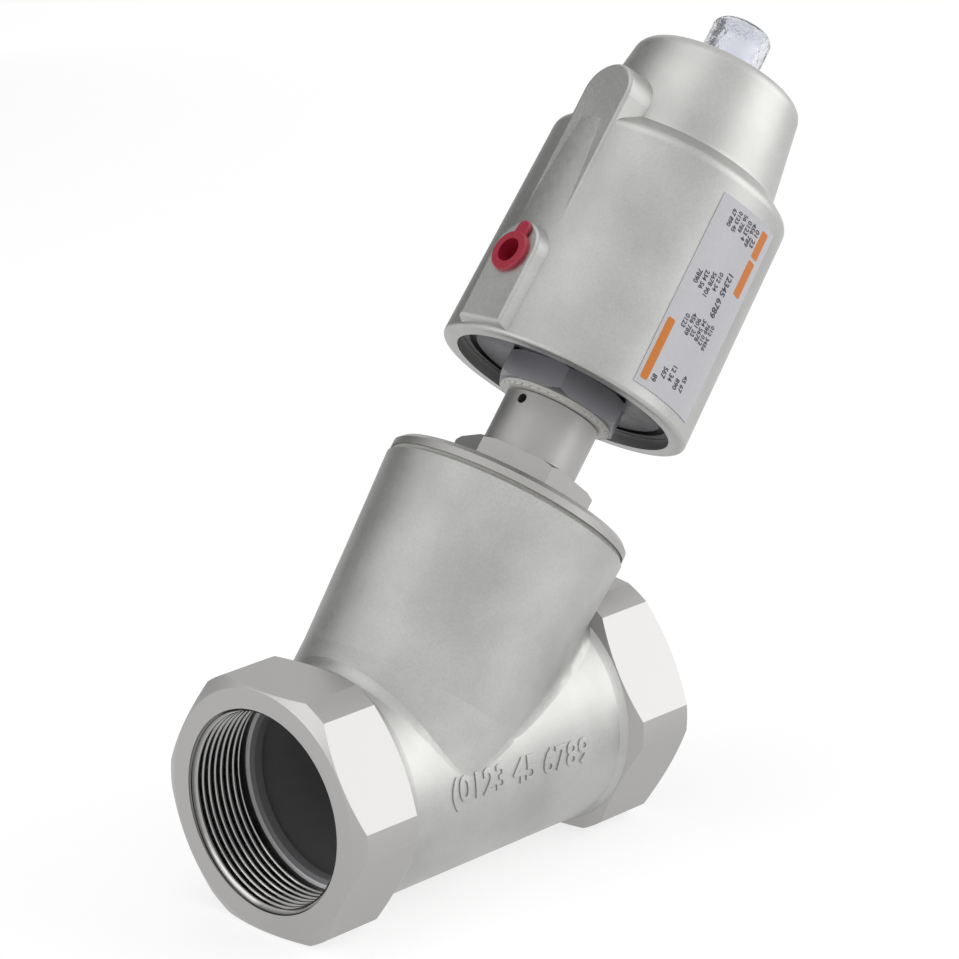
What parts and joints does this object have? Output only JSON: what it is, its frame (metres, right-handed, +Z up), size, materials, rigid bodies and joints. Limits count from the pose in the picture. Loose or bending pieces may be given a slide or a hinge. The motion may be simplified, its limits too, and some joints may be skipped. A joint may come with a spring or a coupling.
{
  "type": "angle seat valve",
  "caption": "Stainless angle seat valve with threaded socket ends, a slanted spring-return air actuator, a clear position cap and a plugged air port.",
  "frame": {"origin": "centre of the inlet socket's mouth, on the pipe axis", "axes": "+X along the pipe from inlet to outlet, +Z up, the stem axis lies in the XZ plane 50 degrees above +X"},
  "size_m": [0.2096, 0.079, 0.2291],
  "materials": {
    "body_casting": "blasted casting",
    "turned_steel": "turned",
    "actuator_casting": "blasted casting",
    "nut_steel": "dark turned",
    "spring_steel": "spring wire",
    "white_ptfe": "turned",
    "filled_ptfe": "turned",
    "gasket_sheet": "flat sheet",
    "seal_rubber": "moulded",
    "piston_aluminium": "turned",
    "clear_plastic": "clear moulding",
    "indicator_plastic": "moulded",
    "label_film": "printed film",
    "plug_plastic": "moulded"
  },
  "bodies": {
    "valve": {"valve_body": "body_casting", "bonnet_gasket": "gasket_sheet", "bonnet": "turned_steel", "stem_guide": "filled_ptfe", "disc_springs": "spring_steel", "packing_support": "filled_ptfe", "packing_rings": "white_ptfe", "gland_nut": "turned_steel", "upper_bush": "filled_ptfe", "air_seal_ring": "seal_rubber", "slip_ring": "white_ptfe", "neck_snap_ring": "spring_steel"},
    "actuator_head": {"actuator_nut": "nut_steel", "neck_seal_ring": "seal_rubber", "base_plate": "turned_steel", "base_seal_ring": "seal_rubber", "base_circlip": "spring_steel", "actuator_housing": "actuator_casting", "spring_seat": "turned_steel", "return_spring": "spring_steel", "cap_seal": "seal_rubber", "indicator_cap": "clear_plastic", "data_label": "label_film"},
    "port_plug": {"air_port_plug": "plug_plastic"},
    "stem_set": {"stem": "turned_steel", "valve_disc": "turned_steel", "seat_seal": "white_ptfe", "seal_washer": "turned_steel", "disc_nut": "turned_steel", "piston": "piston_aluminium", "piston_seal": "seal_rubber", "piston_guide": "filled_ptfe", "piston_washer": "turned_steel", "piston_nut": "turned_steel", "indicator_rod": "indicator_plastic"}
  },
  "joints": [
    {"name": "stem_lift", "type": "slide", "parent": "valve", "child": "stem_set", "axis": [0.6428, 0, 0.766], "range_m": [0, 0.018], "stiffness_N_per_m": 9000, "springref_m": -0.03, "deforming": ["return_spring"]},
    {"name": "actuator_turn", "type": "hinge", "parent": "valve", "child": "actuator_head", "pos_m": [0.0438, 0, 0], "axis": [0.6428, 0, 0.766], "continuous": true},
    {"name": "plug_pull", "type": "slide", "parent": "actuator_head", "child": "port_plug", "axis": [-0.7597, 0.1288, 0.6374], "range_m": [0, 0.009]}
  ]
}
